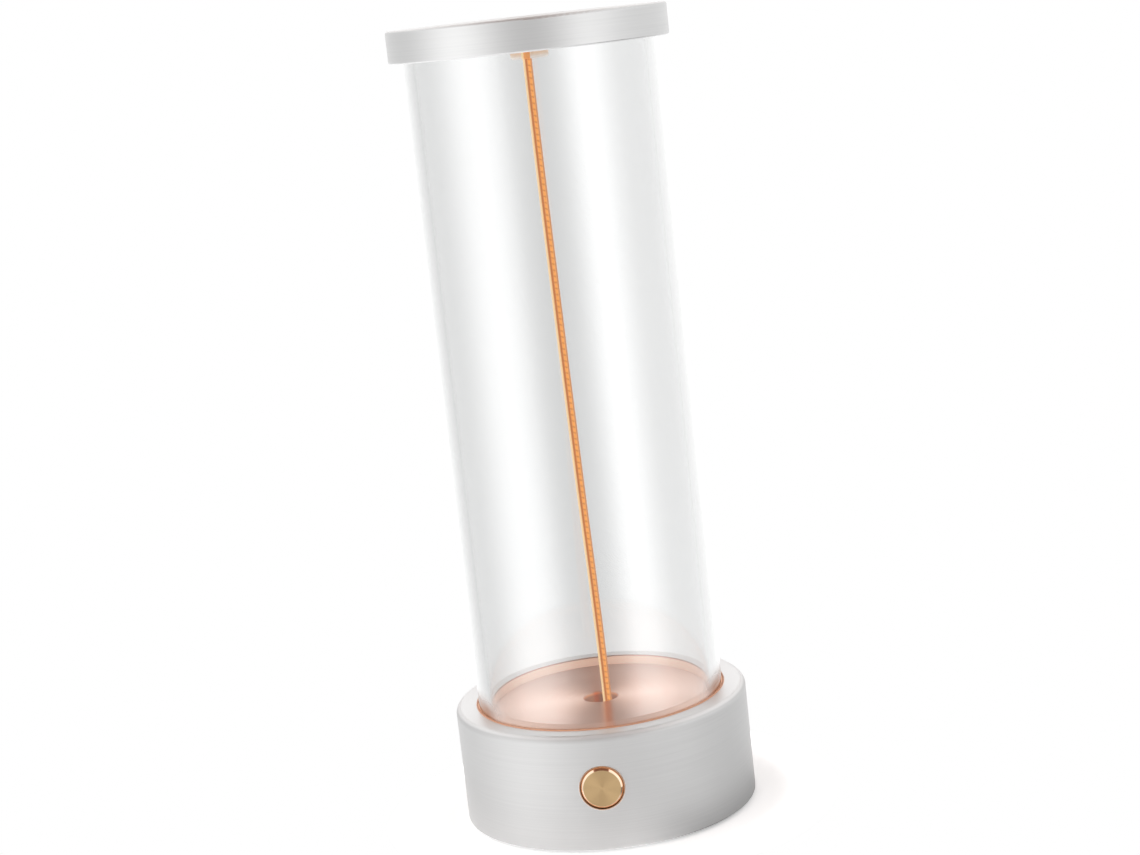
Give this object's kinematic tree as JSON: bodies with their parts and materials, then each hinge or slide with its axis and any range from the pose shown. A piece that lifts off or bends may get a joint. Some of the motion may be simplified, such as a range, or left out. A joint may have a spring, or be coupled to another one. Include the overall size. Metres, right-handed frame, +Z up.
{
  "type": "rechargeable night light",
  "caption": "Table night light: hanging warm filament in a clear glass tube between a turned metal base with push button and a disc cap.",
  "frame": {"origin": "on the surface it stands on, on the axis of the glass tube", "axes": "+Z up along the glass tube, -Y towards the push button, +X to the right seen from the button's side"},
  "size_m": [0.1, 0.1006, 0.27],
  "materials": {
    "base_housing": "fine turned satin",
    "bottom_cover": "fine turned satin",
    "cover_screws": "plated",
    "foot_pad": "soft matte",
    "deck_plate": "rose copper, satin",
    "glass_tube": "clear",
    "seat_sleeve": "rose copper, satin",
    "lower_tube_seal": "soft silicone",
    "upper_tube_seal": "translucent silicone",
    "top_cap": "fine turned satin",
    "cap_anchor": "rose copper, satin",
    "anchor_set_screw": "plated",
    "upper_ferrule": "bright",
    "lower_ferrule": "bright",
    "filament": "emissive warm light",
    "filament_board": "lacquered board",
    "filament_board_screws": "plated",
    "filament_plug": "moulded",
    "carrier": "matte",
    "carrier_screws": "plated",
    "cell": "plastic sleeve",
    "cell_tabs": "plated",
    "cell_pads": "foam",
    "main_board": "lacquered board",
    "main_board_screws": "plated",
    "board_chips": "matte",
    "lead_sockets": "moulded",
    "charging_socket": "plated",
    "charge_light_guide": "clear",
    "button_cap": "bright",
    "button_clip": "plated",
    "button_bezel": "dark copper",
    "button_bush": "bright",
    "bush_nut": "bright",
    "button_spring": "plated",
    "switch_body": "matte",
    "switch_plunger": "moulded",
    "switch_board": "lacquered board",
    "switch_board_screws": "plated",
    "cell_lead_positive": "silicone insulation",
    "cell_lead_negative": "silicone insulation",
    "switch_lead_live": "silicone insulation",
    "switch_lead_return": "silicone insulation",
    "filament_lead_live": "silicone insulation",
    "filament_lead_return": "silicone insulation"
  },
  "bodies": {
    "lamp_body": {"base_housing": "base_housing", "bottom_cover": "bottom_cover", "cover_screws": "cover_screws", "foot_pad": "foot_pad", "deck_plate": "deck_plate", "glass_tube": "glass_tube", "seat_sleeve": "seat_sleeve", "lower_tube_seal": "lower_tube_seal", "upper_tube_seal": "upper_tube_seal", "top_cap": "top_cap", "cap_anchor": "cap_anchor", "anchor_set_screw": "anchor_set_screw", "upper_ferrule": "upper_ferrule", "lower_ferrule": "lower_ferrule", "filament": "filament", "filament_board": "filament_board", "filament_board_screws": "filament_board_screws", "filament_plug": "filament_plug", "carrier": "carrier", "carrier_screws": "carrier_screws", "cell": "cell", "cell_tabs": "cell_tabs", "cell_pads": "cell_pads", "main_board": "main_board", "main_board_screws": "main_board_screws", "board_chips": "board_chips", "lead_sockets": "lead_sockets", "charging_socket": "charging_socket", "charge_light_guide": "charge_light_guide", "button_bezel": "button_bezel", "button_bush": "button_bush", "bush_nut": "bush_nut", "button_spring": "button_spring", "switch_body": "switch_body", "switch_board": "switch_board", "switch_board_screws": "switch_board_screws", "cell_lead_positive": "cell_lead_positive", "cell_lead_negative": "cell_lead_negative", "switch_lead_live": "switch_lead_live", "switch_lead_return": "switch_lead_return", "filament_lead_live": "filament_lead_live", "filament_lead_return": "filament_lead_return"},
    "push_button": {"button_cap": "button_cap", "button_clip": "button_clip"},
    "plunger": {"switch_plunger": "switch_plunger"}
  },
  "joints": [
    {"name": "button_push", "type": "slide", "parent": "lamp_body", "child": "push_button", "axis": [0, 1, 0], "range_m": [0, 0.0006], "stiffness_N_per_m": 900, "springref_m": -0.0003, "deforming": ["button_spring"]},
    {"name": "plunger_push", "type": "slide", "parent": "lamp_body", "child": "plunger", "axis": [0, 1, 0], "range_m": [0, 0.0006]}
  ],
  "couplings": [
    {"joint": "plunger_push", "follows": "button_push", "ratio": 1}
  ]
}
